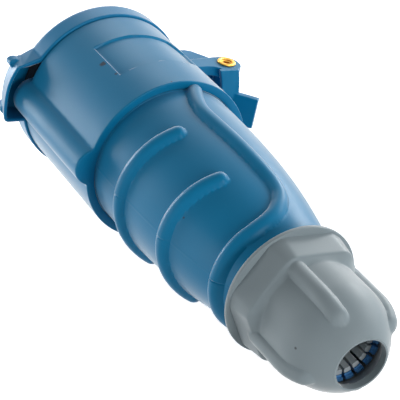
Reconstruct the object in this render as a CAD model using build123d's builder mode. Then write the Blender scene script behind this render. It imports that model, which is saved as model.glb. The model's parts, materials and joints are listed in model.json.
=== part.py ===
"""Portable pin and sleeve connector, 16 A, two poles and earth, with a sprung lid.

The pieces are drawn about the connector's own axis, X, which runs from the mouth to the
cable gland. The key ridge is on top (+Z), the lid's hinge below (-Z), and X = 0 is the
rear face of the front housing. Each finished piece is then laid down as the connector
lies on a table. Millimetres.
"""

import os
from math import acos, asin, atan2, cos, degrees, hypot, pi, radians, sin, tan

from build123d import *

# Front housing
housing_r = 25.5
housing_wall = 2.5
housing_length = 41.8
mouth_lip_length = 2.0
mouth_lip_step = 1.3
collar_depth = 29.3
shoulder_thickness = 2.5
panel_depth = 0.4
panel_start = 12.9
panel_length = 16.9
panel_high = 13.1
panel_low = 14.6

# Key ridge and the keyway inside it
ridge_half_width = 5.8
ridge_height = 3.7
ridge_round = 3.3
ridge_end_chamfer = 0.6
keyway_wall = 2.0

# Hinge bracket, moulded on the housing
pin_set_back = 9.2
pin_drop = 10.2
bracket_half_width = 13.0
cheek_thickness = 3.0
cheek_root_ahead = 3.6
cheek_root_behind = 1.6
boss_r = 4.6
bar_thickness = 1.5
bar_drop = 7.9
bar_height = 6.2
bar_gap = 0.4
nose_half_width = 5.0
nose_thickness = 2.4
nose_reach = 7.6
nose_slope = 46.0

# Hinge rivet and lid spring
rivet_r = 2.0
rivet_bore_r = 1.5
rivet_head_r = 2.85
rivet_head_height = 1.0
rivet_fit = 0.03
barrel_r = 3.2
barrel_fit = 0.08
spring_wire = 0.7
spring_coil_r = 2.75
spring_turns = 4.27
spring_pitch = 1.2
spring_steps = 51
spring_sides = 6
spring_lid_leg = 9.3
spring_housing_leg = 9.6
spring_space = 8.4
spring_slot = 8.0

# Lid
lid_overhang = 0.7
lid_skirt_wall = 1.4
lid_skirt_length = 5.8
lid_seam = 0.3
lid_plate = 2.2
lid_edge_round = 1.6
hood_left = 13.0
hood_right = 8.0
hood_wall = 1.1
hood_rim_rise = 7.0
hood_front_rise = 4.6
lug_r = 1.9
lug_length = 3.0
lug_set_back = 0.2
lug_places = ((11.2, 3.1), (-5.6, 3.8))
hood_round = 1.8
hood_draft = 14.0
arm_side_gap = 0.35
arm_hump_ahead = 10.8
arm_hump_drop = 0.5

# Lid seal
seal_side_gap = 0.2
seal_width = 3.8
seal_gap = 0.1

# Contact carrier and its contacts
carrier_r = 18.0
carrier_front = 40.4
carrier_flange_gap = 0.3
carrier_flange = 3.0
carrier_boss_r = 16.5
carrier_boss = 16.0
carrier_fit = 0.1
pitch_r = 10.4
pole_pin_r = 2.5
earth_pin_r = 3.0
sleeve_wall = 0.9
sleeve_slit = 0.6
sleeve_slit_length = 13.0
sleeve_front_lip = 2.2
clip_thickness = 0.35
clip_length = 4.0
clip_set_back = 3.0
terminal_side = 8.2
terminal_length = 15.0
wire_bore_r = 2.0
terminal_screw_r = 1.6
terminal_screw_head_r = 1.95
retainer_thickness = 2.0
base_screw_r = 1.5
base_screw_head_r = 2.9
base_screw_grip = 8.0
screw_fit = 0.1
pin_hole_fit = 0.4

# Gasket between carrier and handle
gasket_thickness = 1.0
gasket_boss_gap = 2.4

# Handle
spigot_length = 6.0
spigot_fit = 0.1
handle_wall = 2.6
spigot_wall = 3.3
hip_wall = 2.55
core_rear_r = 12.6
core_step = 26.0
core_neck_back = 18.0
handle_front_fall = 0.25
handle_mid_x = 24.0
handle_mid_fall = 0.55
handle_hip_back = 20.0
handle_hip_fall = 3.0
handle_length = 66.0
handle_steps = 8
handle_rear_r = 15.2
handle_belly_rise = 0.2
neck_r = 13.2
neck_length = 13.0
neck_bore_r = 10.8
rib_r = 2.15
round_sides = 12
rib_sink = 0.3
finger_rib_x = (14.8, 37.1)
finger_rib_sweep = 62.0
finger_rib_lean = 6.1
grip_leg_back = 21.0
grip_leg_angle = 92.0
grip_bend_back = 6.0
grip_bend_angle = 60.0
rib_steps = 12

# Gland nut
nut_gap = 0.8
nut_flange_r = 19.2
nut_flange = 1.2
nut_hex_flats = 34.0
nut_hex_length = 7.3
nut_hex_draft = 6.0
nut_corner_r = 18.5
nut_shoulder = 1.5
dome_r = 14.55
dome_start = 19.2
dome_round_r = 18.6
dome_steps = 5
nut_length = 33.7
cable_hole_r = 7.2
thread_fit = 0.08
nut_rib_r = 2.5
nut_rib_sweep = 27.2
nut_shoulder_r = 17.2
nut_cone_start = 24.2
nut_cone_r = 12.8
nut_rib_turn = 21.0
nut_flat_turn = 29.0

# Clamping cage, slip ring and cable seal
finger_count = 18
finger_slot = 0.9
cage_seat = 4.5
cage_flange = 1.2
cage_wall = 1.5
cage_length = 15.5
cage_root_r = 11.9
cage_tip_r = 9.4
cage_step = 0.8
cage_ledge = 0.9
cage_fit = 0.05
cage_bore_r = 9.9
slip_ring_length = 2.0
slip_ring_gap = 0.3
slip_ring_back = 7.0
grommet_bore_r = 6.0
grommet_length = 20.0
grommet_fit = 0.15
grommet_tip_r = 6.6
grommet_slit = 0.7
slip_outer_r = 12.3

# Radii that follow the housing's, so that the pieces keep together when it changes
bore_r = housing_r - housing_wall
mouth_lip_r = housing_r - mouth_lip_step
ridge_top = housing_r + ridge_height
pin_z = -(housing_r + pin_drop)
bar_inner_r = housing_r + bar_drop
bar_outer_r = bar_inner_r + bar_height
lid_r = housing_r + lid_overhang
hood_rim_r = housing_r + hood_rim_rise
hood_front_r = housing_r + hood_front_rise
arm_hump_z = pin_z - arm_hump_drop
seal_outer_r = lid_r - lid_skirt_wall - seal_side_gap
seal_inner_r = seal_outer_r - seal_width
carrier_flange_r = bore_r - carrier_flange_gap
gasket_inner_r = carrier_boss_r + gasket_boss_gap
core_front_r = bore_r - spigot_fit - spigot_wall
handle_front_r = bore_r - handle_front_fall
handle_mid_r = handle_front_r - handle_mid_fall
handle_hip_r = handle_front_r - handle_hip_fall
handle_belly_r = (handle_front_r + handle_mid_r) / 2 + handle_belly_rise
core_mid_r = handle_hip_r - hip_wall

# Places along the axis that follow from the sizes above
mouth_x = -(housing_length + mouth_lip_length)
pin_x = pin_set_back - housing_length
cheek_root_front = pin_x - cheek_root_ahead
cheek_root_rear = pin_x + cheek_root_behind
arm_hump_x = pin_x - arm_hump_ahead
groove_x = mouth_x + collar_depth + mouth_lip_length
flange_x = groove_x + shoulder_thickness
flange_rear = flange_x + carrier_flange
gasket_rear = flange_rear + gasket_thickness
boss_rear = flange_rear + carrier_boss
lid_rear = -(housing_length + lid_seam)
lid_edge = lid_rear - lid_skirt_length
lid_front = lid_edge - lid_edge_round
lid_inner = lid_front + lid_plate
seal_rear = mouth_x - seal_gap
bar_front = pin_x + barrel_r + bar_gap
handle_hip_x = handle_length - handle_hip_back
core_neck = handle_length - core_neck_back
grip_leg_end = handle_length - grip_leg_back
grip_bend_x = handle_length - grip_bend_back
nut_front = handle_length + nut_gap
nut_hex = nut_front + nut_flange
nut_hex_end = nut_hex + nut_hex_length
nut_rear = nut_front + nut_length
dome_straight = nut_front + dome_start
nut_cone_x = nut_front + nut_cone_start
dome_sweep = degrees(asin((nut_rear - dome_straight) / dome_round_r))
neck_end = handle_length + neck_length
cage_rear = neck_end + cage_length
earth_angle, phase_angle, neutral_angle = 0.0, 120.0, -120.0


def turned(x, angle=0.0, radius=0.0):
    """A plane across the axis at x, its X pointing outwards at an angle from the top."""
    out = Vector(0, sin(radians(angle)), cos(radians(angle)))
    return Plane(origin=Vector(x, 0, 0) + out * radius, x_dir=out, z_dir=(1, 0, 0))


def along(angle):
    """A plane through the axis: its X is the axis, its Y points outwards at an angle."""
    out = Vector(0, sin(radians(angle)), cos(radians(angle)))
    return Plane(origin=(0, 0, 0), x_dir=(1, 0, 0), z_dir=Vector(1, 0, 0).cross(out))


def handle_r(x):
    """The handle's outer radius at x, from the two arcs of its outline."""
    if x <= handle_mid_x:
        ends = (0, handle_front_r), (handle_mid_x / 2, handle_belly_r), (handle_mid_x, handle_mid_r)
    else:
        ends = (handle_mid_x, handle_mid_r), (handle_hip_x, handle_hip_r), (handle_length, handle_rear_r)
    (x0, r0), (x1, r1), (x2, r2) = ends
    first = r0 * (x - x1) * (x - x2) / ((x0 - x1) * (x0 - x2))
    second = r1 * (x - x0) * (x - x2) / ((x1 - x0) * (x1 - x2))
    third = r2 * (x - x0) * (x - x1) / ((x2 - x0) * (x2 - x1))
    return first + second + third


handle_stations = [handle_length * n / handle_steps for n in range(handle_steps + 1)]


def on_dome(sweep_angle, lift=0.0):
    """A point (x, radius) on the gland nut's dome, so many degrees round from its straight part."""
    radius = dome_round_r + lift
    turn = radians(sweep_angle)
    return (dome_straight + radius * sin(turn), dome_r - dome_round_r + radius * cos(turn))


def on_lid_edge(turn):
    """A point (x, radius) on the lid's rounded edge, from the skirt (0) to the plate (90)."""
    round_x = lid_edge_round * sin(radians(turn))
    round_r = lid_edge_round * (1 - cos(radians(turn)))
    return (lid_edge - round_x, lid_r - round_r)


def at_surface(x, angle, sink=rib_sink):
    """A point on the handle's skin, sunk a little below it."""
    radius = handle_r(x) - sink
    return (x, radius * sin(radians(angle)), radius * cos(radians(angle)))


# The resting pose: on the housing's rear edge, the nut's flange and the hinge boss on one side
rest_tilt = degrees(atan2(housing_r - nut_flange_r, nut_hex))
carrying_r = housing_r - pin_x * tan(radians(rest_tilt))
boss_low = boss_r - pin_z
boss_reach = hypot(bracket_half_width, boss_low)
roll = degrees(atan2(bracket_half_width, boss_low) + acos(carrying_r / boss_reach))
rest = Rotation(0, rest_tilt, 0) * Rotation(roll, 0, 0)


def finger_rib_points(rib_x):
    """Centre line of a finger rib: across the top, leaning back a little towards its ends."""
    turns = [finger_rib_sweep * (2 * n / rib_steps - 1) for n in range(rib_steps + 1)]
    return [at_surface(rib_x + finger_rib_lean * (1 - cos(radians(turn))), turn) for turn in turns]


def grip_rib_points():
    """Centre line of the long rib: along one side, round a bend, over the top and back."""
    half = [(grip_leg_end * n / 4, grip_leg_angle) for n in range(1, 4)]
    for n in range(7):
        turn = radians(15 * n)
        bend_x = grip_leg_end + (grip_bend_x - grip_leg_end) * sin(turn)
        half.append((bend_x, grip_bend_angle + (grip_leg_angle - grip_bend_angle) * cos(turn)))
    over = [(grip_bend_x, grip_bend_angle * (1 - n / 4)) for n in range(1, 8)]
    points = [(0.5, grip_leg_angle)] + half + over + [(x, -angle) for x, angle in reversed(half)]
    return [at_surface(x, angle) for x, angle in points + [(0.5, -grip_leg_angle)]]


def rib(points, radius=rib_r, ends=True):
    """A rib of round section swept along points, with its ends rounded off."""
    first, last = Vector(*points[0]), Vector(*points[-1])
    out = Plane(origin=last, z_dir=last - Vector(*points[-2]))
    back = Plane(origin=first, z_dir=first - Vector(*points[1]))
    section = Plane(origin=first, z_dir=Vector(*points[1]) - first) * RegularPolygon(radius, round_sides)
    bar = sweep(section, path=Polyline(*points), transition=Transition.RIGHT)
    for end in (out, back) if ends else ():
        bar += extrude(end * RegularPolygon(radius, round_sides), 0.7 * radius, taper=22)
        tip = end.offset(0.7 * radius) * RegularPolygon(0.72 * radius, round_sides)
        bar += extrude(tip, 0.25 * radius, taper=60)
    return bar


def keep(piece, name):
    """Name a finished piece and lay it as the connector rests."""
    laid = piece.moved(rest)
    laid.label = name
    pieces.append(laid)


pieces = []

# Shallow panel on the housing's side: a tapered outline with a floor that follows the barrel
with BuildPart() as side_panel:
    with BuildSketch(Plane.XZ) as panel_outline:
        with BuildLine():
            Polyline(
                (-panel_start - panel_length, panel_high),
                (-panel_start, panel_high),
                (-panel_start - 0.6, -panel_low * 0.55),
                (-panel_start - 4.1, -panel_low),
                (-panel_start - panel_length + 4.8, -panel_low),
                (-panel_start - panel_length + 0.5, -panel_low * 0.75),
                close=True,
            )
        make_face()
        fillet(panel_outline.vertices(), 0.8)
    extrude(amount=-housing_r - 1)
    with BuildSketch(Plane.YZ.offset(-housing_length)):
        Circle(housing_r - panel_depth)
    extrude(amount=housing_length, mode=Mode.SUBTRACT)

# Front housing: barrel, key ridge, keyway, collar groove and hinge bracket in one moulding
with BuildPart() as front_housing:
    with BuildSketch(Plane.YZ.offset(-housing_length)):
        Circle(housing_r)
        with Locations((0, ridge_top / 2)):
            RectangleRounded(2 * ridge_half_width, ridge_top, ridge_round)
    extrude(amount=housing_length)
    ridge_end = front_housing.edges().filter_by_position(Axis.X, -0.01, 0.01)
    chamfer(ridge_end.filter_by_position(Axis.Z, housing_r, ridge_top + 1), ridge_end_chamfer)
    with BuildSketch(Plane.YZ.offset(mouth_x)):
        Circle(mouth_lip_r)
        with Locations((0, ridge_top / 2)):
            RectangleRounded(2 * ridge_half_width, ridge_top, ridge_round)
    extrude(amount=mouth_lip_length)
    with BuildSketch(Plane.XZ) as cheek:
        with BuildLine():
            Polyline(
                (cheek_root_rear, -housing_r + 6),
                (cheek_root_front, -housing_r + 6),
                (pin_x - boss_r, pin_z),
                (pin_x + boss_r, pin_z),
                (bar_front + bar_thickness, -bar_inner_r),
            )
            ThreePointArc(
                (bar_front + bar_thickness, -bar_inner_r),
                (cheek_root_rear + 1.2, -bar_inner_r + 2.2),
                (cheek_root_rear, -bar_inner_r + 5.5),
            )
            Line((cheek_root_rear, -bar_inner_r + 5.5), (cheek_root_rear, -housing_r + 6))
        make_face()
        with Locations((pin_x, pin_z)):
            Circle(boss_r)
    extrude(amount=bracket_half_width, both=True)
    with BuildSketch(Plane.XZ):
        with Locations((pin_x, pin_z + 3)):
            Rectangle(6 * boss_r, 6 * boss_r)
    extrude(amount=bracket_half_width - cheek_thickness, both=True, mode=Mode.SUBTRACT)
    with BuildSketch(Plane.YZ.offset(-housing_length)):
        Circle(housing_r)
    extrude(amount=housing_length)
    with BuildSketch(Plane.YZ.offset(bar_front)):
        Circle(bar_outer_r)
        Circle(bar_inner_r, mode=Mode.SUBTRACT)
        with Locations((0, -(bar_inner_r + bar_outer_r) / 2)):
            Rectangle(2 * bracket_half_width, bar_outer_r - bar_inner_r + 8, mode=Mode.INTERSECT)
    extrude(amount=bar_thickness)
    with BuildSketch(Plane.XZ):
        with Locations(Location((bar_front + bar_thickness / 2, -bar_outer_r + 1.2), -nose_slope)):
            with Locations((nose_reach / 2, 0)):
                Rectangle(nose_reach, nose_thickness)
    extrude(amount=nose_half_width, both=True)
    with Locations(Location((pin_x, 0, pin_z), (90, 0, 0))):
        Cylinder(rivet_r + rivet_fit, 3 * bracket_half_width, mode=Mode.SUBTRACT)
    with BuildSketch(Plane.YZ.offset(mouth_x)):
        Circle(bore_r)
        with Locations((0, (ridge_top - keyway_wall) / 2)):
            RectangleRounded(
                2 * (ridge_half_width - keyway_wall), ridge_top - keyway_wall, ridge_round - keyway_wall + 0.4
            )
    extrude(amount=groove_x - mouth_x, mode=Mode.SUBTRACT)
    with BuildSketch(Plane.YZ.offset(groove_x)):
        Circle(carrier_r + carrier_fit)
    extrude(amount=shoulder_thickness, mode=Mode.SUBTRACT)
    with BuildSketch(Plane.YZ.offset(flange_x)):
        Circle(bore_r)
    extrude(amount=-flange_x, mode=Mode.SUBTRACT)
    add(side_panel.part, mode=Mode.SUBTRACT)
keep(front_housing.part, "front_housing")

# Hinge rivet: a brass eyelet, its ends rolled over the cheeks
with BuildPart() as hinge_rivet:
    with BuildSketch(Plane.XZ):
        with Locations((pin_x, pin_z)):
            Circle(rivet_r)
    extrude(amount=bracket_half_width, both=True)
    for side in (1, -1):
        with BuildSketch(Plane.XZ.offset(side * bracket_half_width)):
            with Locations((pin_x, pin_z)):
                Circle(rivet_head_r)
        extrude(amount=side * rivet_head_height)
    rims = hinge_rivet.edges().filter_by(GeomType.CIRCLE)
    chamfer(rims.group_by(Axis.Y)[0] + rims.group_by(Axis.Y)[-1], rivet_head_height * 0.5)
    with BuildSketch(Plane.XZ):
        with Locations((pin_x, pin_z)):
            Circle(rivet_bore_r)
    extrude(amount=2 * bracket_half_width, both=True, mode=Mode.SUBTRACT)
keep(hinge_rivet.part, "hinge_rivet")

# Lid spring: a torsion coil round the rivet, one leg on the lid and one on the bracket
spring_start = -spring_pitch * spring_turns / 2
coil_axis = Plane(origin=(pin_x, spring_start, pin_z), x_dir=(1, 0, 0), z_dir=(0, 1, 0))
coil = []
for n in range(spring_steps + 1):
    turn = 2 * pi * spring_turns * n / spring_steps
    coil.append(Vector(spring_coil_r * cos(turn), spring_coil_r * sin(turn), spring_pitch * turn / (2 * pi)))
leg_turn = 2 * pi * spring_turns
housing_leg = coil[0] - Vector(0, spring_housing_leg, 0)
lid_leg = coil[-1] + Vector(-sin(leg_turn), cos(leg_turn), 0) * spring_lid_leg
with BuildPart() as lid_spring:
    with BuildLine() as wire:
        Polyline(housing_leg, *coil, lid_leg)
    with BuildSketch(Plane(origin=housing_leg, z_dir=(0, 1, 0))):
        RegularPolygon(spring_wire / 2, spring_sides)
    sweep(path=wire.wires()[0], transition=Transition.RIGHT)
keep(lid_spring.part.moved(coil_axis.location), "lid_spring")

# Lid: domed plate, skirt, hood over the key ridge, and the arm to the hinge barrel
arm_half_width = bracket_half_width - cheek_thickness - arm_side_gap
hood_depth = lid_rear - lid_front
with BuildPart() as hood_space:
    with BuildSketch(Plane.XZ):
        with BuildLine():
            Polyline(
                (lid_front - 1, 0), (lid_front - 1, hood_front_r), (lid_front, hood_front_r),
                (lid_rear, hood_rim_r), (lid_rear, 0), close=True,
            )
        make_face()
    revolve(axis=Axis.X)
with BuildPart() as lid:
    with BuildSketch(Plane.YZ.offset(lid_front)):
        with Locations(((hood_left - hood_right) / 2, 0)):
            Rectangle(hood_left + hood_right, 3 * hood_rim_r, align=(Align.CENTER, Align.MIN))
    extrude(amount=hood_depth)
    add(hood_space.part, mode=Mode.INTERSECT)
    fillet(lid.edges().filter_by(Plane.YZ, reverse=True).sort_by(Axis.Z)[-2:], hood_round)
    with BuildSketch(Plane.YZ.offset(lid_front + lug_set_back)):
        with Locations(*[(side, housing_r + rise) for side, rise in lug_places]):
            Circle(lug_r)
    extrude(amount=lug_length)
    with BuildSketch(Plane.XZ):
        with BuildLine():
            Polyline(
                (lid_rear, 0), (lid_rear, lid_r),
                *[on_lid_edge(turn) for turn in (0, 30, 60, 90)], (lid_front, 0), close=True,
            )
        make_face()
    revolve(axis=Axis.X)
    with BuildSketch(Plane.XZ):
        with BuildLine():
            Polyline(
                (lid_rear, -lid_r + 3), (lid_front + 0.2, -lid_r + 3),
                (lid_front + 0.2, arm_hump_z + 5.5), (lid_front + 1.3, arm_hump_z + 3.6),
                (arm_hump_x, arm_hump_z), (pin_x - 0.8, pin_z - barrel_r + 0.1),
                (pin_x, pin_z), (pin_x - 2.0, pin_z + barrel_r - 0.7),
                (pin_x - 5.0, pin_z + 5.3), (lid_rear, -lid_r - 2.2), close=True,
            )
        make_face()
        with Locations((pin_x, pin_z)):
            Circle(barrel_r)
    extrude(amount=arm_half_width, both=True)
    with BuildSketch(Plane.XZ):
        with Locations((pin_x - spring_slot, pin_z)):
            Rectangle(2 * spring_slot, 4 * barrel_r, align=(Align.MIN, Align.CENTER))
    extrude(amount=spring_space / 2, both=True, mode=Mode.SUBTRACT)
    with Locations(Location((pin_x, 0, pin_z), (90, 0, 0))):
        Cylinder(rivet_r + barrel_fit, 3 * bracket_half_width, mode=Mode.SUBTRACT)
    with BuildSketch(Plane.YZ.offset(lid_inner)):
        Circle(lid_r - lid_skirt_wall)
    extrude(amount=lid_rear - lid_inner, mode=Mode.SUBTRACT)
    with BuildSketch(Plane.YZ.offset(lid_rear)):
        Circle(hood_rim_r - hood_wall)
        with Locations(((hood_left - hood_right) / 2, 0)):
            Rectangle(
                hood_left + hood_right - 2 * hood_wall, 2 * hood_rim_r,
                align=(Align.CENTER, Align.MIN), mode=Mode.INTERSECT,
            )
    extrude(amount=-(lid_rear - lid_inner), taper=hood_draft, mode=Mode.SUBTRACT)
keep(lid.part, "lid")

# Lid seal: a flat rubber ring held by the lid, against the mouth's lip when shut
with BuildPart() as lid_seal:
    with BuildSketch(Plane.YZ.offset(lid_inner)):
        Circle(seal_outer_r)
        Circle(seal_inner_r, mode=Mode.SUBTRACT)
    extrude(amount=seal_rear - lid_inner)
keep(lid_seal.part, "lid_seal")

on_base = (Align.CENTER, Align.CENTER, Align.MIN)

# The three contacts: name, angle from the key and the radius of the pin they take
contacts = (
    ("earth", earth_angle, earth_pin_r),
    ("phase", phase_angle, pole_pin_r),
    ("neutral", neutral_angle, pole_pin_r),
)
sleeve_front = -carrier_front + sleeve_front_lip
terminal_front = boss_rear - terminal_length
screw_x = terminal_front + terminal_length / 2
screw_well = carrier_boss_r - pitch_r - terminal_side / 2

# Contact carrier: the front insulator, with a pin hole and a sleeve hole for each contact
with BuildPart() as contact_carrier:
    with BuildSketch(Plane.YZ.offset(-carrier_front)):
        Circle(carrier_r)
    extrude(amount=carrier_front + flange_x)
    chamfer(contact_carrier.edges().group_by(Axis.X)[0], 0.6)
    for _, angle, pin_r in contacts:
        with BuildSketch(turned(-carrier_front, angle, pitch_r)):
            Circle(pin_r + pin_hole_fit)
        extrude(amount=sleeve_front_lip, mode=Mode.SUBTRACT)
        with BuildSketch(turned(sleeve_front - carrier_fit, angle, pitch_r)):
            Circle(pin_r + sleeve_wall + clip_thickness + carrier_fit)
        extrude(amount=flange_x - sleeve_front + carrier_fit, mode=Mode.SUBTRACT)
    with BuildSketch(Plane.YZ.offset(flange_x)):
        Circle(base_screw_r + screw_fit)
    extrude(amount=-base_screw_grip - 0.5, mode=Mode.SUBTRACT)
keep(contact_carrier.part, "contact_carrier")

# Terminal base: the rear insulator, clamped by its flange, with a pocket for each terminal
with BuildPart() as terminal_base:
    with BuildSketch(Plane.YZ.offset(flange_x)):
        Circle(carrier_flange_r)
    extrude(amount=carrier_flange)
    with BuildSketch(Plane.YZ.offset(flange_rear)):
        Circle(carrier_boss_r)
    extrude(amount=carrier_boss)
    for _, angle, pin_r in contacts:
        with BuildSketch(turned(flange_x, angle, pitch_r)):
            Circle(pin_r + sleeve_wall + carrier_fit)
        extrude(amount=terminal_front - flange_x, mode=Mode.SUBTRACT)
        with BuildSketch(turned(terminal_front - carrier_fit, angle, pitch_r)):
            Rectangle(terminal_side + 2 * carrier_fit, terminal_side + 2 * carrier_fit)
        extrude(amount=terminal_length + 2 * carrier_fit, mode=Mode.SUBTRACT)
        with BuildSketch(along(angle)):
            with Locations((screw_x, carrier_boss_r)):
                Rectangle(2 * terminal_screw_head_r + 0.8, 2 * screw_well + 1)
        extrude(amount=terminal_screw_head_r + 0.4, both=True, mode=Mode.SUBTRACT)
    with BuildSketch(Plane.YZ.offset(flange_x)):
        Circle(base_screw_r + screw_fit)
    extrude(amount=boss_rear - flange_x, mode=Mode.SUBTRACT)
keep(terminal_base.part, "terminal_base")

# Contacts: a slit brass sleeve, its spring clip, and a screw in the terminal block behind
for name, angle, pin_r in contacts:
    with BuildPart() as sleeve:
        with BuildSketch(turned(sleeve_front, angle, pitch_r)):
            Circle(pin_r + sleeve_wall)
        extrude(amount=terminal_front - sleeve_front)
        with BuildSketch(turned(terminal_front, angle, pitch_r)):
            Rectangle(terminal_side, terminal_side)
        extrude(amount=terminal_length - carrier_fit)
        with BuildSketch(turned(sleeve_front, angle, pitch_r)):
            Circle(pin_r)
        extrude(amount=terminal_front - sleeve_front - 2, mode=Mode.SUBTRACT)
        with BuildSketch(turned(sleeve_front, angle, pitch_r)):
            Rectangle(4 * pin_r, sleeve_slit)
        extrude(amount=sleeve_slit_length, mode=Mode.SUBTRACT)
        with BuildSketch(turned(boss_rear, angle, pitch_r)):
            Circle(wire_bore_r)
        extrude(amount=-terminal_length * 0.75, mode=Mode.SUBTRACT)
        with Locations(turned(screw_x, angle, pitch_r).location * Location((0, 0, 0), (0, 90, 0))):
            Cylinder(terminal_screw_r, terminal_side, align=on_base, mode=Mode.SUBTRACT)
    keep(sleeve.part, f"{name}_sleeve")
    with BuildPart() as clip:
        with BuildSketch(turned(sleeve_front + clip_set_back, angle, pitch_r)):
            Circle(pin_r + sleeve_wall + clip_thickness)
            Circle(pin_r + sleeve_wall, mode=Mode.SUBTRACT)
            with Locations((pin_r + sleeve_wall, 0)):
                Rectangle(2 * clip_thickness + 1, 1.2, mode=Mode.SUBTRACT)
        extrude(amount=clip_length)
    keep(clip.part, f"{name}_sleeve_spring")
    with BuildPart() as terminal_screw:
        screw_base = turned(screw_x, angle, pitch_r).location * Location((0, 0, 0), (0, 90, 0))
        with Locations(screw_base * Location((0, 0, wire_bore_r * 0.4))):
            Cylinder(terminal_screw_r - 0.02, terminal_side / 2, align=on_base)
        with Locations(screw_base * Location((0, 0, terminal_side / 2 + 0.05))):
            Cylinder(terminal_screw_head_r, 1.8, align=on_base)
        with Locations(screw_base * Location((0, 0, terminal_side / 2 + 1.1))):
            Box(0.6, 2 * terminal_screw_head_r, 1.8, align=on_base, mode=Mode.SUBTRACT)
    keep(terminal_screw.part, f"{name}_terminal_screw")

# Contact retainer: a disc behind the terminals, with a wire hole over each
with BuildPart() as contact_retainer:
    with BuildSketch(Plane.YZ.offset(boss_rear)):
        Circle(carrier_boss_r)
        for _, angle, _ in contacts:
            with Locations((pitch_r * sin(radians(angle)), pitch_r * cos(radians(angle)))):
                Circle(wire_bore_r + 0.6, mode=Mode.SUBTRACT)
        Circle(base_screw_r + screw_fit, mode=Mode.SUBTRACT)
    extrude(amount=retainer_thickness)
keep(contact_retainer.part, "contact_retainer")

# Base screw: it draws the retainer, the terminal base and the carrier together
with BuildPart() as base_screw:
    with BuildSketch(Plane.YZ.offset(flange_x - base_screw_grip)):
        Circle(base_screw_r)
    extrude(amount=boss_rear + retainer_thickness - flange_x + base_screw_grip)
    with BuildSketch(Plane.YZ.offset(boss_rear + retainer_thickness)):
        Circle(base_screw_head_r)
    extrude(amount=1.8)
    with BuildSketch(Plane.YZ.offset(boss_rear + retainer_thickness + 1.8)):
        Rectangle(3.4, 0.7)
        Rectangle(0.7, 3.4)
    extrude(amount=-0.9, mode=Mode.SUBTRACT)
keep(base_screw.part, "base_screw")

# Gasket clamped between the carrier's flange and the handle's spigot
with BuildPart() as housing_gasket:
    with BuildSketch(Plane.YZ.offset(flange_rear)):
        Circle(carrier_flange_r)
        Circle(gasket_inner_r, mode=Mode.SUBTRACT)
    extrude(amount=gasket_thickness)
keep(housing_gasket.part, "housing_gasket")

# Handle: spigot, waisted grip, neck for the nut, two finger ribs and the long rib round them
finger_ribs = {rib_x: rib(finger_rib_points(rib_x)) for rib_x in finger_rib_x}
grip_rib = rib(grip_rib_points(), ends=False)
with BuildPart() as handle:
    with BuildSketch(Plane.XZ):
        with BuildLine():
            Polyline(
                (gasket_rear, 0), (gasket_rear, bore_r - spigot_fit), (0, bore_r - spigot_fit),
                *[(x, handle_r(x)) for x in handle_stations],
                (handle_length, neck_r), (neck_end, neck_r), (neck_end, 0), close=True,
            )
        make_face()
    revolve(axis=Axis.X)
    for rib_x in finger_rib_x:
        add(finger_ribs[rib_x])
    add(grip_rib)
    with BuildSketch(Plane.XZ):
        with BuildLine():
            Polyline(
                (gasket_rear, 0), (gasket_rear, core_front_r), (core_step, core_front_r),
                (core_step, core_mid_r), (core_neck, core_mid_r), (core_neck, core_rear_r),
                (handle_length - handle_wall, core_rear_r), (handle_length - handle_wall, neck_bore_r),
                (neck_end - cage_seat, neck_bore_r), (neck_end - cage_seat, neck_bore_r + cage_ledge),
                (neck_end, neck_bore_r + cage_ledge), (neck_end, 0), close=True,
            )
        make_face()
    revolve(axis=Axis.X, mode=Mode.SUBTRACT)
keep(handle.part, "handle")

# Clamping cage: a collar seated in the neck, with a ring of fingers that taper to the hole
cage_root = neck_end + cage_flange
finger_taper = degrees(atan2(cage_root_r - cage_tip_r, cage_rear - cage_root))
with BuildPart() as clamping_cage:
    with BuildSketch(Plane.YZ.offset(neck_end - cage_seat)):
        Circle(neck_bore_r + cage_ledge - cage_fit)
    extrude(amount=cage_seat)
    with BuildSketch(Plane.YZ.offset(neck_end)):
        Circle(neck_r - 0.6)
    extrude(amount=cage_flange)
    with BuildSketch(Plane.YZ.offset(cage_root)):
        RegularPolygon(cage_root_r, finger_count, major_radius=False)
    extrude(amount=cage_rear - cage_root, taper=finger_taper)
    with BuildSketch(Plane.YZ.offset(neck_end - cage_seat)):
        Circle(cage_bore_r)
    extrude(amount=cage_seat + cage_flange, mode=Mode.SUBTRACT)
    with BuildSketch(Plane.YZ.offset(cage_root)):
        RegularPolygon(cage_root_r - cage_wall, finger_count, major_radius=False)
    extrude(amount=cage_rear - cage_root, taper=finger_taper, mode=Mode.SUBTRACT)
    with BuildSketch(Plane.YZ.offset(cage_rear - cage_step)):
        RegularPolygon(cage_tip_r - cage_wall / 2, finger_count, major_radius=False)
    extrude(amount=cage_step, mode=Mode.SUBTRACT)
    with BuildSketch(Plane.YZ.offset(cage_root + 1)):
        with PolarLocations(0, finger_count, start_angle=180 / finger_count):
            Rectangle(2 * neck_r, finger_slot, align=(Align.MIN, Align.CENTER))
    extrude(amount=cage_length, mode=Mode.SUBTRACT)
keep(clamping_cage.part, "clamping_cage")

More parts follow.
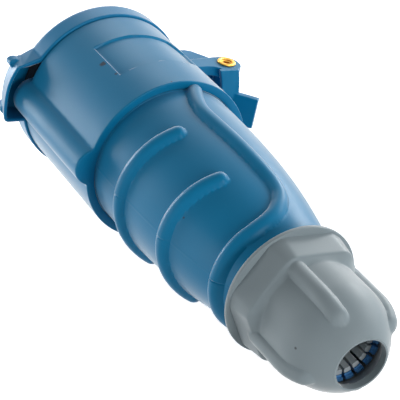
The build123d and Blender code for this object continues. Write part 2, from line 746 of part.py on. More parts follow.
# Cable seal: a tapered rubber sleeve inside the cage, slit between the fingers
grommet_front = neck_end - cage_seat - 1.5
grommet_end = cage_rear - cage_step - 0.2
slit_start = cage_root + 3
with BuildPart() as cable_seal:
    with BuildSketch(Plane.YZ.offset(grommet_front)):
        Circle(neck_bore_r - grommet_fit)
    extrude(amount=neck_end - cage_seat - grommet_front)
    with BuildSketch(Plane.YZ.offset(neck_end - cage_seat)):
        Circle(cage_bore_r - grommet_fit)
    extrude(amount=cage_seat + cage_flange)
    with BuildSketch(Plane.YZ.offset(cage_root)):
        RegularPolygon(cage_root_r - cage_wall - grommet_fit, finger_count, major_radius=False)
    extrude(amount=grommet_end - cage_root, taper=finger_taper)
    with BuildSketch(Plane.YZ.offset(grommet_front)):
        Circle(grommet_bore_r)
    extrude(amount=slit_start - grommet_front, mode=Mode.SUBTRACT)
    with BuildSketch(Plane.YZ.offset(slit_start)):
        Circle(grommet_tip_r)
    extrude(amount=grommet_length, mode=Mode.SUBTRACT)
    with BuildSketch(Plane.YZ.offset(slit_start)):
        with PolarLocations(0, finger_count, start_angle=180 / finger_count):
            Rectangle(neck_r, grommet_slit, align=(Align.MIN, Align.CENTER))
    extrude(amount=grommet_length, mode=Mode.SUBTRACT)
keep(cable_seal.part, "cable_seal")

# Slip ring: a plain ring between the fingers and the nut, which pushes it without turning it
slip_front = cage_rear - slip_ring_back - slip_ring_length
finger_corner_r = (cage_root_r - (slip_front - cage_root) * tan(radians(finger_taper))) / cos(pi / finger_count)
with BuildPart() as slip_ring:
    with BuildSketch(Plane.YZ.offset(slip_front)):
        Circle(slip_outer_r)
        Circle(finger_corner_r + slip_ring_gap, mode=Mode.SUBTRACT)
    extrude(amount=slip_ring_length)
keep(slip_ring.part, "slip_ring")

# Gland nut: flange, drafted hexagon with its corners turned off, dome and four grip ribs
with BuildPart() as nut_corners:
    with BuildSketch(Plane.YZ.offset(nut_hex)):
        Circle(nut_corner_r)
    extrude(amount=nut_hex_length)
nut_ribs = []
rib_line = [(nut_hex_end - 0.5, dome_r - rib_sink)]
rib_line += [on_dome(nut_rib_sweep * n / 4, -rib_sink) for n in range(5)]
for turn in range(4):
    place = along(nut_rib_turn + 90 * turn)
    nut_ribs.append(rib([place.from_local_coords(Vector(x, r, 0)) for x, r in rib_line], nut_rib_r))
with BuildPart() as gland_nut:
    with BuildSketch(Plane.YZ.offset(nut_hex)):
        RegularPolygon(nut_hex_flats / 2, 6, major_radius=False, rotation=nut_flat_turn)
    extrude(amount=nut_hex_length, taper=nut_hex_draft)
    add(nut_corners.part, mode=Mode.INTERSECT)
    with BuildSketch(Plane.YZ.offset(nut_front)):
        Circle(nut_flange_r)
    extrude(amount=nut_flange)
    with BuildSketch(Plane.XZ):
        with BuildLine():
            Polyline(
                (nut_hex, 0), (nut_hex, nut_shoulder_r), (nut_hex_end, nut_shoulder_r),
                (nut_hex_end + nut_shoulder, dome_r),
                *[on_dome(dome_sweep * n / dome_steps) for n in range(dome_steps + 1)],
                (nut_rear, cable_hole_r), (nut_rear, 0), close=True,
            )
        make_face()
    revolve(axis=Axis.X)
    for nut_rib in nut_ribs:
        add(nut_rib)
    with BuildSketch(Plane.XZ):
        with BuildLine():
            Polyline(
                (nut_front, 0), (nut_front, neck_r + thread_fit), (neck_end + 0.5, neck_r + thread_fit),
                (neck_end + 0.5, nut_cone_r), (nut_cone_x, nut_cone_r), (nut_rear - 2.0, cable_hole_r),
                (nut_rear, cable_hole_r), (nut_rear, 0), close=True,
            )
        make_face()
    revolve(axis=Axis.X, mode=Mode.SUBTRACT)
keep(gland_nut.part, "gland_nut")

# Every piece is written from the middle of the ground that the connector covers
space = Compound(pieces).bounding_box()
to_ground = Location((-space.center().X, -space.center().Y, -space.min.Z))
os.makedirs("parts", exist_ok=True)
for piece in pieces:
    centred = piece.moved(to_ground)
    centred.label = piece.label
    export_step(centred, f"parts/{piece.label}.step")
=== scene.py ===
# %% [markdown]
# A portable power connector with a round mouth, lying on a pale floor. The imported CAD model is
# loaded first and never moved. Each step then either gives a CAD part the finish of the real
# material, or builds a smoother piece that stands in its place.

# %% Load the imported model
import json
from math import cos, pi, radians, sin

import bmesh
import bpy
import numpy as np
from mathutils import Matrix, Vector

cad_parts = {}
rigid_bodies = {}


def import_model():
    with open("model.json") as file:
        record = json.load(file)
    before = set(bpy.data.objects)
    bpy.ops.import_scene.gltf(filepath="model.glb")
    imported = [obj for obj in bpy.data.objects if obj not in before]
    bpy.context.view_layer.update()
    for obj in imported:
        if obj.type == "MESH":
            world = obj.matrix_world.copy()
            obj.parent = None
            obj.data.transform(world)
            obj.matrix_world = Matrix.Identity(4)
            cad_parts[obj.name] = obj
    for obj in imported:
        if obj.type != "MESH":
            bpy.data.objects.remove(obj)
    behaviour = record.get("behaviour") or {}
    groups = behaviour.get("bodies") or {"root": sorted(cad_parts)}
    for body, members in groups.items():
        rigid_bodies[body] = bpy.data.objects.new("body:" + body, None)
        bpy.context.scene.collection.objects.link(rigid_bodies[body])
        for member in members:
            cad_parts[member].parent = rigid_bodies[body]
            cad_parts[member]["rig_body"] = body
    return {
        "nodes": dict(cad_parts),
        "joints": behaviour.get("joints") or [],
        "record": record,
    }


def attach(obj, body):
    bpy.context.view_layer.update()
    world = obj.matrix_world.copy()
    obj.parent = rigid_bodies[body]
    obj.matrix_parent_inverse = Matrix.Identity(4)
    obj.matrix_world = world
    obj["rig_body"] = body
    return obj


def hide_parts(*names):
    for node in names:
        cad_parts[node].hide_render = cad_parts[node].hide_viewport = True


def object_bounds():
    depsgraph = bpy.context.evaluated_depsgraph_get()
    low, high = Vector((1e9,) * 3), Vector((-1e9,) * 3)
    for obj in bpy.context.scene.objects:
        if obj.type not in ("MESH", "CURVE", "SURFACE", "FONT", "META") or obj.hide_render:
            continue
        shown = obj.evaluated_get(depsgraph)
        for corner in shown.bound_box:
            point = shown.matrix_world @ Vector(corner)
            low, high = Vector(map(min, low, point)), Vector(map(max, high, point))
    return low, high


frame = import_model()
cad_low, cad_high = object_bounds()
MM = 0.001
print("CAD box in mm", [round(side / MM, 1) for side in cad_high - cad_low])

# %% [markdown]
# The connector rests tilted, so its own axes aren't the room's. Its joints say where they are:
# the gland turns about the long axis, and the lid turns about a line across it. Pieces are
# drawn in these axes, in millimetres, and one matrix carries them to their place.

# %% The connector's own axes
nut_front = 66.8
joints = {joint["name"]: joint for joint in frame["joints"]}
axis_long = Vector(joints["gland_turn"]["axis"]).normalized()
axis_side = -Vector(joints["lid_hinge"]["axis"]).normalized()
axis_key = axis_long.cross(axis_side)
middle = Vector(joints["gland_turn"]["pos_m"]) - axis_long * nut_front * MM
own = Matrix.Translation(middle) @ Matrix((axis_long, axis_side, axis_key)).transposed().to_4x4()


def at(x, y, z):
    """A place given in the connector's own axes, in mm, as a point in the room."""
    return own @ (Vector((x, y, z)) * MM)


def heading(x, y, z):
    """A direction given in the connector's own axes, as one in the room."""
    return (own.to_3x3() @ Vector((x, y, z))).normalized()


print("middle of the joint face at", [round(v / MM, 1) for v in middle], "mm")

# %% [markdown]
# The camera was fitted to the photograph: a long lens far off, which keeps the mouth and the
# gland almost the same scale. Its three directions fill a matrix, since Blender's camera
# looks along its own -Z with +Y up.

# %% Camera
look_right = heading(0.48112, 0.19583, -0.85453)
look_down = heading(0.50788, -0.85679, 0.08961)
look_ahead = heading(-0.71455, -0.47711, -0.51167)
camera = bpy.data.objects.new("camera", bpy.data.cameras.new("camera"))
bpy.context.scene.collection.objects.link(camera)
bpy.context.scene.camera = camera
camera.data.sensor_width = 36.0
camera.data.lens = 147.96
camera_turn = Matrix((look_right, -look_down, -look_ahead)).transposed().to_4x4()
camera.matrix_world = Matrix.Translation(at(345.66, 216.29, 233.33)) @ camera_turn
camera.data.clip_end = 20.0
print("camera at", [round(v, 3) for v in camera.location])

# %% [markdown]
# Two helpers serve every material. One turns a written colour into the linear light that the
# shaders work in. The other adds a node with its settings and links in one call.

# %% Colour and node helpers
def linear(colour):
    """A hex sRGB colour as linear red, green, blue and alpha."""
    parts = [int(colour[n:n + 2], 16) / 255 for n in (1, 3, 5)]
    return [v / 12.92 if v <= 0.04045 else ((v + 0.055) / 1.055) ** 2.4 for v in parts] + [1.0]


def add_node(material, kind, inputs, **settings):
    """Add one shader node, set its values and link the sockets it is given."""
    made = material.node_tree.nodes.new(kind)
    for name, value in settings.items():
        setattr(made, name, value)
    for name, value in inputs.items():
        if isinstance(value, bpy.types.NodeSocket):
            material.node_tree.links.new(value, made.inputs[name])
        else:
            made.inputs[name].default_value = value
    return made


def new_material(name):
    """An empty node material and its output node."""
    material = bpy.data.materials.new(name)
    material.use_nodes = True
    material.node_tree.nodes.clear()
    return material, add_node(material, "ShaderNodeOutputMaterial", {})


print("blue in linear light", [round(v, 3) for v in linear("#00739f")])

# %% [markdown]
# Moulded plastic is never one flat colour. The tool's spark-eroded skin leaves a fine grain
# that softens highlights, and the melt leaves slow changes of tone. Both are noise at real
# sizes. The true grain is near 0.1 mm, too fine to show, so it is drawn three times coarser.
# A weak highlight and a strong sheen pale the skin only where it turns away from the eye.
# Handling leaves smudges, each a place on the skin and a reach, with an edge made ragged by noise.

# %% Moulded plastic
tone_mm, ragged_mm = 14.0, 1.1
dirt = "#2a2a30"


def smudged(material, place, under, spots):
    """Lay small dark smudges over a colour, each given as x, y, z, reach and strength."""
    ragged = add_node(material, "ShaderNodeTexNoise", {
        "Vector": place, "Scale": 1 / (ragged_mm * MM), "Detail": 2.0,
    })
    for x, y, z, reach, strength in spots:
        away = add_node(material, "ShaderNodeVectorMath", {0: place, 1: at(x, y, z)}, operation="DISTANCE")
        edge = add_node(material, "ShaderNodeMath", {
            0: ragged.outputs["Fac"], 1: reach * 1.6 * MM, 2: away.outputs["Value"],
        }, operation="MULTIPLY_ADD")
        cover = add_node(material, "ShaderNodeMapRange", {
            "Value": edge.outputs["Value"], "From Min": reach * 1.5 * MM, "From Max": reach * 2.0 * MM,
            "To Min": strength, "To Max": 0.0,
        })
        under = add_node(material, "ShaderNodeMix", {
            "Factor": cover.outputs["Result"], "A": under, "B": linear(dirt),
        }, data_type="RGBA").outputs["Result"]
    return under


def moulded(name, colour, deep, roughness, grain_mm=0.3, grain_depth_mm=0.012, ior=1.53, spots=()):
    """Moulded plastic or rubber: a skin of fine grain over a slowly changing tone."""
    material, output = new_material(name)
    place = add_node(material, "ShaderNodeTexCoord", {}).outputs["Object"]
    flow = add_node(material, "ShaderNodeTexNoise", {
        "Vector": place, "Scale": 1 / (tone_mm * MM), "Detail": 3.0,
    })
    tone = add_node(material, "ShaderNodeMix", {
        "Factor": flow.outputs["Fac"], "A": linear(colour), "B": linear(deep),
    }, data_type="RGBA")
    grain = add_node(material, "ShaderNodeTexNoise", {
        "Vector": place, "Scale": 1 / (grain_mm * MM), "Detail": 2.0,
    })
    rub = add_node(material, "ShaderNodeMapRange", {
        "Value": flow.outputs["Fac"], "To Min": roughness - 0.04, "To Max": roughness + 0.05,
    })
    skin = add_node(material, "ShaderNodeBump", {
        "Height": grain.outputs["Fac"], "Distance": grain_depth_mm * MM, "Strength": 0.6,
    })
    shader = add_node(material, "ShaderNodeBsdfPrincipled", {
        "Base Color": smudged(material, place, tone.outputs["Result"], spots),
        "Roughness": rub.outputs["Result"], "Normal": skin.outputs["Normal"], "IOR": ior,
        "Specular IOR Level": 0.14, "Sheen Weight": 1.0, "Sheen Roughness": 0.3,
    })
    material.node_tree.links.new(shader.outputs["BSDF"], output.inputs["Surface"])
    return material


blue_marks = (
    (-21.2, 21.1, 14.3, 0.9, 0.85), (-14.1, 21.5, 13.7, 0.5, 0.7), (-0.8, 25.2, 3.7, 0.3, 0.8),
    (41.0, 7.9, 18.9, 0.35, 0.7),
)
grey_marks = ((91.4, 0.8, 13.7, 0.35, 0.7),)
# Satin blue: deep where it faces the lens, pale and hazy where it turns away.
blue_polyamide = moulded("polyamide_moulded_blue", "#00739f", "#006d97", 0.38, spots=blue_marks)
# The lid is more matt than the body, and its blue is the body's blue painted a touch lighter, as painted
# light for the stronger light on the lid.
lid_polyamide_painted_light = moulded("polyamide_moulded_lid_painted_light", "#0674a3", "#046d9a", 0.42)
# A cool light grey with a soft sheen, for the gland nut.
grey_polyamide = moulded("polyamide_moulded_grey", "#849095", "#7c898f", 0.42, spots=grey_marks)
# A paler, more violet blue, which marks the fingers in the cable hole.
cage_polyamide = moulded("polyamide_moulded_pale_blue", "#4f8cc4", "#4883ba", 0.4)
# Glass fibre leaves the insulators duller and greyer, with a coarse skin.
carrier_polyamide = moulded("polyamide_glass_filled", "#285f86", "#21557b", 0.6, grain_mm=0.5)
print("moulded plastics ready")

# %% [markdown]
# Rubber is matt, so it takes a high roughness and a coarser grain. Brass and steel are bare
# metals: their colour is in the reflection, and fine marks from rolling, turning or drawing
# change how sharp it is from place to place.

# %% Rubber and metals
def metal(name, colour, roughness, mark_mm, mark_depth_mm):
    """Bare metal with fine marks left by rolling, turning or drawing."""
    material, output = new_material(name)
    place = add_node(material, "ShaderNodeTexCoord", {}).outputs["Object"]
    marks = add_node(material, "ShaderNodeTexNoise", {
        "Vector": place, "Scale": 1 / (mark_mm * MM), "Detail": 4.0,
    })
    rub = add_node(material, "ShaderNodeMapRange", {
        "Value": marks.outputs["Fac"], "To Min": roughness - 0.06, "To Max": roughness + 0.08,
    })
    cut = add_node(material, "ShaderNodeBump", {
        "Height": marks.outputs["Fac"], "Distance": mark_depth_mm * MM, "Strength": 0.5,
    })
    shader = add_node(material, "ShaderNodeBsdfPrincipled", {
        "Base Color": linear(colour), "Metallic": 1.0,
        "Roughness": rub.outputs["Result"], "Normal": cut.outputs["Normal"],
    })
    material.node_tree.links.new(shader.outputs["BSDF"], output.inputs["Surface"])
    return material


# A chalky light grey for the cable seal, with hardly any highlight.
grey_rubber = moulded("elastomer_moulded_grey", "#a9b2b6", "#9ea8ac", 0.7, 0.4, 0.02, 1.52)
# Dark slate and matt, for the seals that keep water out.
black_rubber = moulded("nitrile_rubber_moulded", "#27323b", "#202a32", 0.75, 0.4, 0.02, 1.52)
# Warm yellow with broad soft highlights, for the eyelet's rolled rims.
rolled_brass = metal("brass_rolled_bright", "#eab458", 0.38, 0.5, 0.001)
# Duller brass with fine lathe marks, for the contacts.
turned_brass = metal("brass_turned", "#d9b268", 0.3, 0.3, 0.006)
# Cold grey and fairly bright, for drawn spring wire.
spring_wire = metal("spring_steel_drawn", "#b9bcbf", 0.32, 0.25, 0.004)
# A paler, whiter grey, for plated screws.
zinc_plate = metal("steel_zinc_plated", "#c4c8cb", 0.35, 0.3, 0.004)
print("rubber and metals ready")

# %% [markdown]
# The pieces inside, and those that already have their true form, keep their CAD mesh. They
# only need the right material in their slot. The clamping cage shares its slot with the blue
# mouldings, but its fingers are a paler blue.

# %% Finishes for the CAD parts
finishes = {
    "blue_plastic": blue_polyamide, "lid_plastic": lid_polyamide_painted_light, "grey_plastic": grey_polyamide,
    "carrier_plastic": carrier_polyamide, "grey_rubber": grey_rubber, "black_rubber": black_rubber,
    "brass": rolled_brass, "contact_brass": turned_brass,
    "spring_steel": spring_wire, "screw_steel": zinc_plate,
}
slot_of = {part["node"]: part["material_slot"] for part in frame["record"]["subparts"]}
for node, part in frame["nodes"].items():
    part.data.materials.clear()
    finish = cage_polyamide if node == "clamping_cage" else finishes[slot_of[node]]
    part.data.materials.append(finish)
print("finished", len(frame["nodes"]), "CAD parts")

# %% [markdown]
# The handle and the gland nut are turned shapes with ribs standing on them. Each is drawn as
# rings of points round the axis, and the ring's radius changes with the angle wherever a rib
# passes. This keeps ribs and body one skin, with a soft root where they meet.

# %% Rings round the axis
def show_for(made, node, material):
    """Give a piece its material, and let it stand for a CAD node on the same body."""
    made.data.materials.clear()
    made.data.materials.append(material)
    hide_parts(node)
    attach(made, frame["nodes"][node]["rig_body"])
    return made


def ring_piece(name, node, along, radius, turn, material, place=own):
    """A closed skin of rings: along and radius hold one row per ring, one column per turn."""
    out_y, out_z = radius * np.sin(turn), radius * np.cos(turn)
    points = np.stack([along * np.ones_like(radius), out_y, out_z], axis=-1).reshape(-1, 3) * MM
    rings, columns = radius.shape
    here = np.arange(rings * columns).reshape(rings, columns)
    after, beside = np.roll(here, -1, axis=0), np.roll(here, -1, axis=1)
    corner = np.roll(after, -1, axis=1)
    faces = np.stack([here, after, corner, beside], axis=-1).reshape(-1, 4)
    mesh = bpy.data.meshes.new(name)
    mesh.from_pydata(points.tolist(), [], faces.tolist())
    mesh.transform(place)
    mesh.polygons.foreach_set("use_smooth", [True] * len(faces))
    mesh.set_sharp_from_angle(angle=radians(35))
    made = bpy.data.objects.new(name, mesh)
    bpy.context.scene.collection.objects.link(made)
    print(name, len(faces), "faces")
    return show_for(made, node, material)


def soft_max(first, second, root):
    """The larger of two heights, with a rounded root where they cross."""
    return (first + second + np.sqrt((first - second) ** 2 + root ** 2)) / 2


def rib_height(points, line, rib_r, sink):
    """How far a round rib along the line stands above the skin at each point."""
    gap = np.sqrt(((points[:, None, :] - line[None, :, :]) ** 2).sum(-1).min(axis=1))
    crown = np.sqrt(np.maximum(rib_r ** 2 - gap ** 2, 0)) - sink
    return np.where(gap < rib_r, crown, -sink - 1.5 * (gap - rib_r))


columns = 400
turns = np.linspace(0, 2 * pi, columns, endpoint=False)
print("rings have", columns, "points")

# %% [markdown]
# The handle's outline is two shallow curves, a full belly and a waist that runs down to the
# gland. Each is the one parabola through three measured radii.

# %% The handle's outline
spigot_front, spigot_r = -6.0, 22.9
handle_length = 66.0
neck_end, neck_r = 79.0, 13.2
belly = (0.0, 22.75), (12.0, 22.675), (24.0, 22.2)
waist = (24.0, 22.2), (46.0, 19.75), (66.0, 15.2)


def handle_r(x):
    """The handle's radius at x, in mm."""
    front, rear = [np.polyfit(*zip(*knots), 2) for knots in (belly, waist)]
    return np.where(x <= waist[0][0], np.polyval(front, x), np.polyval(rear, x))


def on_handle(x, degrees_round):
    """Points on the handle's skin, so many degrees round from the key."""
    round_by = np.radians(degrees_round)
    return np.stack([x, handle_r(x) * np.sin(round_by), handle_r(x) * np.cos(round_by)], axis=-1)


print("waist radius", round(float(handle_r(np.array(46.0))), 2), "mm")

# %% [markdown]
# Two short ribs give the fingers a hold. One long rib runs back along a side, bends, crosses
# the top near the gland and returns along the other side. Its line is a row of places on the
# skin, each a distance along the axis and degrees round from the key, blurred into a curve.

# %% The ribs' middle lines
finger_reach, finger_starts = 61, (15.1, 37.4)
finger_sweep = np.linspace(-finger_reach, finger_reach, 320)
finger_lean = 6.1 * (1 - np.cos(np.radians(finger_sweep)))
rib_lines = [on_handle(start + finger_lean, finger_sweep) for start in finger_starts]
long_rib = (
    (0.5, 99), (4, 94.5), (8.5, 90), (13, 87.8), (20, 89.3), (30, 92.2), (40, 95.2), (46.5, 97.2),
    (51.5, 95.5), (55, 89), (57.8, 79), (59.2, 67), (59.6, 54), (59.3, 40), (59.1, 20), (59.1, 0),
)
knot = np.linspace(0, len(long_rib) - 1, 700)
blur = 30
soft = np.hanning(2 * blur + 1)
long_x, long_round = [
    np.convolve(np.pad(np.interp(knot, range(len(long_rib)), row), blur, mode="edge"),
                soft / soft.sum(), mode="valid")
    for row in zip(*long_rib)
]
rib_lines += [on_handle(long_x, side * long_round) for side in (1, -1)]
print("rib lines", len(rib_lines))

# %% [markdown]
# The neck behind the handle carries the gland's thread. It shows only when the nut is
# unscrewed, and it is cut into the neck so that the nut still clears it. The two halves of
# the moulding tool meet at the top and the bottom: a faint raised line, a nick on each rib.

# %% Handle
thread_pitch, thread_depth = 2.5, 0.7
rib_r, rib_sink, rib_root, end_round = 2.35, 0.35, 0.35, 0.4
seam_nick, seam_line = -0.22, 0.07
handle_x = np.concatenate([
    [spigot_front, -0.1], np.arange(0, handle_length - 0.3, 0.4), [65.8, 65.95, 66.0, 66.02],
    np.arange(66.3, neck_end, 0.32), [neck_end],
])
handle_skin = []
for x in handle_x:
    if x < 0:
        ring = np.full(columns, spigot_r)
    elif x <= handle_length:
        skin = on_handle(np.full(columns, x), np.degrees(turns))
        proud = np.max([rib_height(skin, line, rib_r, rib_sink) for line in rib_lines], axis=0)
        near = max(0.0, 1 - (handle_length - x) / end_round)
        ring = handle_r(x) + soft_max(proud, 0.0, rib_root) - end_round * (1 - np.sqrt(1 - near ** 2))
        ring[::columns // 2] += np.where(proud[::columns // 2] > 0, seam_nick, seam_line)
    else:
        wave = 2 * np.abs(((x / thread_pitch - turns / (2 * pi)) % 1) - 0.5)
        ring = neck_r - thread_depth * np.clip(1.6 * wave - 0.5, 0, 1)
    handle_skin.append(ring)
bore = (
    (79.0, 11.7), (74.5, 11.7), (74.5, 10.8), (63.4, 10.8), (63.4, 12.6), (48.0, 12.6),
    (48.0, 17.2), (26.0, 17.2), (26.0, 19.6), (-6.0, 19.6),
)
handle_rows = np.array(handle_skin + [np.full(columns, r) for _, r in bore])
handle_along = np.concatenate([handle_x, [x for x, _ in bore]])[:, None]
ring_piece("handle_moulding", "handle", handle_along, handle_rows, turns, blue_polyamide)

# %% [markdown]
# The gland nut is a short hexagon with its corners turned off, behind a thin flange, and a
# dome that closes down to the cable hole. Four ribs on the dome let a hand tighten it. Two
# stand in line with a corner of the hexagon, and two with the middle of a flat.

# %% Gland nut
flange_r, flange_end, hex_end, nut_rear = 19.2, 68.0, 75.3, 100.5
dome_r, dome_start, dome_round = 14.55, 86.0, 18.6
hex_turn, rib_turn = radians(31), radians(61)
flat_r, flat_draft, corner_r, corner_draft = 17.0, 0.16, 18.5, 0.12
nut_rib_r, nut_rib_sink, nut_rib_root = 2.5, 0.3, 0.6
flange_round, rim_round, face_length = 0.3, 0.35, 1.8
nut_x = np.concatenate([
    nut_front + np.array([0, 0.04, 0.12, 0.3]), np.linspace(67.3, 67.7, 3), [67.88, 67.96, 68.0, 68.03],
    np.arange(68.2, 74.9, 0.35), np.linspace(74.9, 77.2, 16), np.arange(77.4, 99.6, 0.3),
    np.linspace(99.7, nut_rear, 6),
])


def dome_skin(x):
    """The dome's radius at x: straight at first, then an arc down to the hole."""
    drop = np.maximum(np.asarray(x, float) - dome_start, 0)
    return dome_r - dome_round + np.sqrt(dome_round ** 2 - drop ** 2)


nut_line = np.linspace(74.8, 94.5, 160)
nut_ribs = [
    np.stack([nut_line, dome_skin(nut_line) * sin(rib_turn + n * pi / 2),
              dome_skin(nut_line) * cos(rib_turn + n * pi / 2)], axis=-1) for n in range(4)
]
from_flat = (turns - hex_turn + pi / 6) % (pi / 3) - pi / 6
nut_skin = []
for x in nut_x:
    dome = np.full(columns, float(dome_skin(x)))
    skin = np.stack([np.full(columns, x), dome * np.sin(turns), dome * np.cos(turns)], axis=-1)
    proud = np.max([rib_height(skin, line, nut_rib_r, nut_rib_sink) for line in nut_ribs], axis=0)
    ring = dome + soft_max(proud, 0.0, nut_rib_root)
    if x <= flange_end:
        edge = max(0.0, abs(x - (nut_front + flange_end) / 2) - flange_round)
        crown = np.sqrt(max(0.0, flange_round ** 2 - edge ** 2))
        ring = np.full(columns, flange_r - flange_round + crown)
    else:
        back = min(x, hex_end) - flange_end
        flat = (flat_r - flat_draft * back) / np.cos(from_flat)
        body = -soft_max(-flat, corner_draft * back - corner_r, 0.3)
        near = np.clip(1 - (hex_end - x) / (2 * rim_round), 0, 1)
        body = body - rim_round * (1 - np.sqrt(1 - near ** 2))
        past = np.clip((x - hex_end) / face_length, 0, 1)
        under = dome - 0.3
        ring = soft_max(ring, under + (body - under) * (1 - past), 0.3)
    nut_skin.append(ring)
cavity = ((nut_rear, 7.2), (98.5, 7.2), (91.0, 12.8), (79.5, 12.8), (79.5, 13.28), (nut_front, 13.28))
nut_rows = np.array(nut_skin + [np.full(columns, r) for _, r in cavity])
nut_along = np.concatenate([nut_x, [x for x, _ in cavity]])[:, None]
ring_piece("gland_nut_moulding", "gland_nut", nut_along, nut_rows, turns, grey_polyamide)

# %% [markdown]
# The housing's barrel is turned too, with three things that change its radius: a full round
# ridge over the key, the keyway inside under it, and a shallow panel sunk in one side. How far
# a point lies inside the panel's outline says how deep the skin is there.

# %% Housing barrel
housing_r, bore_r, lip_r, mouth_x, barrel_front = 25.5, 23.0, 24.2, -43.8, -41.8
key_half, key_top, slot_half, slot_top = 5.8, 29.2, 3.8, 27.2
panel_deep, panel_slope = 0.7, 0.3
panel_outline = (
    (-29.8, 13.1), (-12.9, 13.1), (-13.5, -8.0), (-17.0, -14.6), (-25.0, -14.6), (-29.3, -11.0),
)


def ridge(half_width, top):
    """The radius of a round-topped ridge at each turn, or a small one beside it."""
    centre = top - half_width
    inside = half_width ** 2 - (centre * np.sin(turns)) ** 2
    crown = centre * np.cos(turns) + np.sqrt(np.maximum(inside, 0))
    return np.where((inside > 0) & (np.cos(turns) > 0), crown, 20.0)


def panel_drop(x):
    """How deep the side panel is sunk at x, at each turn."""
    z = housing_r * np.cos(turns)
    out = np.full(columns, -99.0)
    for (x0, z0), (x1, z1) in zip(panel_outline, panel_outline[1:] + panel_outline[:1]):
        length = np.hypot(x1 - x0, z1 - z0)
        out = np.maximum(out, ((x0 - x) * (z1 - z0) + (z - z0) * (x1 - x0)) / length)
    return np.where(np.sin(turns) > 0, panel_deep * np.clip(0.5 - out / panel_slope, 0, 1), 0)


plain_x = [
    -41.4, -41.2, -41.0, *np.arange(-40.5, -30.5, 0.5), *np.arange(-30.4, -12.3, 0.25),
    *np.arange(-12.0, -0.9, 0.5), -0.7, -0.5, -0.35,
]
barrel = [
    (mouth_x, lip_r - 0.3), (mouth_x + 0.1, lip_r - 0.1), (mouth_x + 0.3, lip_r), (barrel_front, lip_r),
    (barrel_front, housing_r - 0.15), (barrel_front + 0.15, housing_r),
    *[(x, housing_r) for x in plain_x],
    (-0.15, housing_r - 0.05), (-0.04, housing_r - 0.15), (0.0, housing_r - 0.3),
]
barrel_skin = []
for x, r in barrel:
    near = np.clip(1 - min(-x, x - mouth_x) / 0.7, 0, 1)
    key = ridge(key_half, key_top - 0.6 * (1 - np.sqrt(1 - near ** 2)))
    barrel_skin.append(soft_max(key, r - panel_drop(x), 0.4))
inside = ((0.0, 23.3), (-0.1, 23.1), (-0.3, bore_r), (-10.0, bore_r), (-10.0, 18.1), (-12.5, 18.1))
barrel_skin += [np.full(columns, r) for _, r in inside]
barrel_skin += [np.maximum(ridge(slot_half, slot_top), bore_r)] * 2
barrel_rows = np.array(barrel_skin)
barrel_along = np.array([x for x, _ in (*barrel, *inside)] + [inside[-1][0], mouth_x])[:, None]
ring_piece("front_housing_barrel", "front_housing", barrel_along, barrel_rows, turns, blue_polyamide)

# %% [markdown]
# Beside the barrel stands the hinge bracket: two cheeks that hold the rivet, a bar across them
# and a nose for the latch. Each is an outline drawn flat and given a thickness. Voxels then
# melt the four into one piece, and a little smoothing leaves the small radius of a moulding.

# %% Hinge bracket
pin_x, pin_z, cheek_out, cheek_in = -32.6, -35.7, 13.0, 10.0
pin_hole_r, cheek_r, bar_out, bar_in = 2.03, 4.6, 39.6, 33.4
nose_x, nose_z, nose_length, nose_half, nose_reach = -28.25, -38.4, 7.6, 1.2, 5.0
lean = radians(-46)


def arc(x, z, radius, first, last, steps=24):
    """Points on an arc, between two angles in degrees."""
    angles = np.radians(np.linspace(first, last, steps))
    return [(x + radius * cos(a), z + radius * sin(a)) for a in angles]


def slab(grown, outline, near, far, across="y"):
    """Add an outline to a mesh, with its thickness across one of the connector's axes."""
    ends = []
    for depth in (near, far):
        points = [(x, depth, z) if across == "y" else (depth, x, z) for x, z in outline]
        ends.append([grown.verts.new(Vector(p) * MM) for p in points])
    grown.faces.new(ends[0])
    grown.faces.new(ends[1][::-1])
    for n in range(len(outline)):
        after = (n + 1) % len(outline)
        grown.faces.new((ends[0][after], ends[0][n], ends[1][n], ends[1][after]))


def melted(name, node, grown, voxel_mm, rounds, material):
    """One smooth piece out of overlapping solids, by voxels and a little smoothing."""
    mesh = bpy.data.meshes.new(name)
    bmesh.ops.recalc_face_normals(grown, faces=grown.faces)
    bmesh.ops.triangulate(grown, faces=grown.faces)
    grown.to_mesh(mesh)
    grown.free()
    made = bpy.data.objects.new(name, mesh)
    bpy.context.scene.collection.objects.link(made)
    remesh = made.modifiers.new("voxels", "REMESH")
    remesh.mode, remesh.voxel_size, remesh.use_smooth_shade = "VOXEL", voxel_mm * MM, True
    relax = made.modifiers.new("relax", "SMOOTH")
    relax.factor, relax.iterations = 0.5, rounds
    bpy.context.view_layer.update()
    evaluated = made.evaluated_get(bpy.context.evaluated_depsgraph_get())
    made.data = bpy.data.meshes.new_from_object(evaluated)
    made.modifiers.clear()
    made.data.transform(own)
    print(name, len(made.data.polygons), "faces")
    return show_for(made, node, material)


bracket = bmesh.new()
cheek = [
    (-31.0, -21.6), (-31.0, -27.9), *arc(-25.9, -28.2, 5.1, 180, 252, 10), (-27.5, -33.6), (-27.5, -37.2),
    *arc(pin_x, pin_z, cheek_r, -30, -180), (-36.2, -21.6),
    (pin_x, -21.6), *arc(pin_x, pin_z, pin_hole_r, 90, 450, 40), (pin_x, -21.6),
]
for side in (1, -1):
    slab(bracket, cheek, side * cheek_in, side * cheek_out)
far, near = [np.degrees(np.arcsin(cheek_out / r)) for r in (bar_out, bar_in)]
bar = arc(0, 0, bar_out, 270 - far, 270 + far) + arc(0, 0, bar_in, 270 + near, 270 - near)
slab(bracket, bar, -29.0, -27.5, "x")
corners = (0, -nose_half), (nose_length, -nose_half), (nose_length, nose_half), (0, nose_half)
nose = [(nose_x + a * cos(lean) - b * sin(lean), nose_z + a * sin(lean) + b * cos(lean))
        for a, b in corners]
slab(bracket, nose, -nose_reach, nose_reach)
melted("front_housing_bracket", "front_housing", bracket, 0.24, 2, blue_polyamide)

